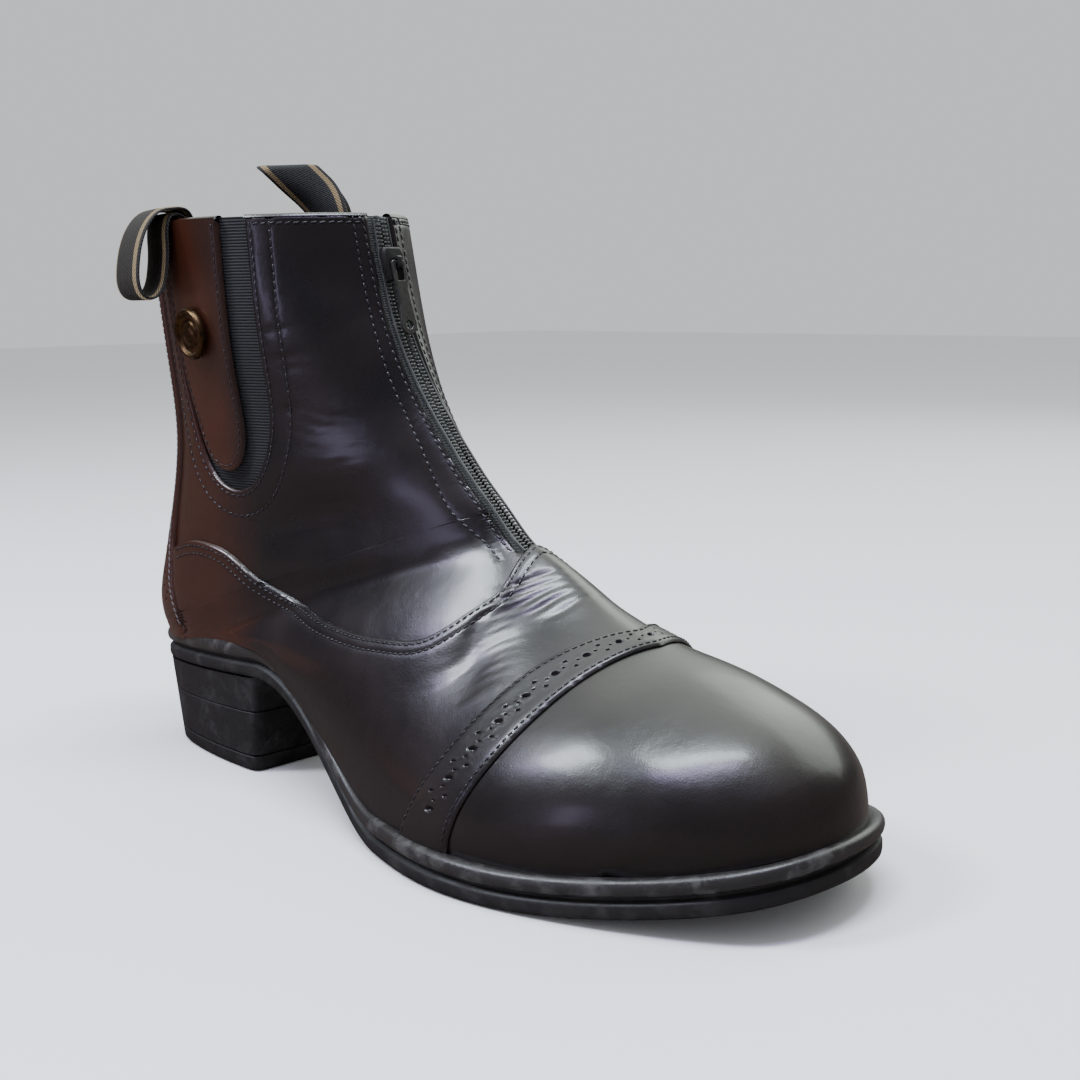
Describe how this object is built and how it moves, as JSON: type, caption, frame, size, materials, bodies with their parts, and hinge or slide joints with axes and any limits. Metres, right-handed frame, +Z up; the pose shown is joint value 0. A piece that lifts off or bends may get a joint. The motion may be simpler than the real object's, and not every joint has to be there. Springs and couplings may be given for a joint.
{
  "type": "paddock boot",
  "caption": "Ankle-high leather riding boot for the right foot, with a front zip, elastic side gussets, a brogued toe strip, pull loops and a low-heeled rubber sole.",
  "frame": {"origin": "on the floor, in the middle of the heel's flat underside", "axes": "+X towards the toe, +Y towards the foot's inner side, +Z up"},
  "size_m": [0.29, 0.1047, 0.2063],
  "materials": {
    "leather": "satin",
    "lining": "matte",
    "rubber": "matte",
    "elastic": "matte",
    "teeth": "satin",
    "zip_metal": "satin",
    "brass": "polished"
  },
  "bodies": {
    "boot": {"outsole": "rubber", "welt": "rubber", "heel_block": "rubber", "heel_top_piece": "rubber", "insole": "lining", "upper": "leather", "vamp": "leather", "toe_cap": "leather", "toe_strip": "leather", "back_strip": "leather", "leather_tab": "leather", "elastic_lateral": "elastic", "elastic_medial": "elastic", "pull_loop_lateral": "elastic", "pull_loop_medial": "elastic", "zip_tape": "elastic", "zip_chain": "teeth", "zip_slider": "zip_metal", "button": "brass"},
    "puller": {"zip_puller": "zip_metal"}
  },
  "joints": [
    {"name": "puller_hinge", "type": "hinge", "parent": "boot", "child": "puller", "pos_m": [0.08495, -0.00073, 0.16989], "axis": [0, -1, 0], "range_deg": [0, 150]}
  ]
}
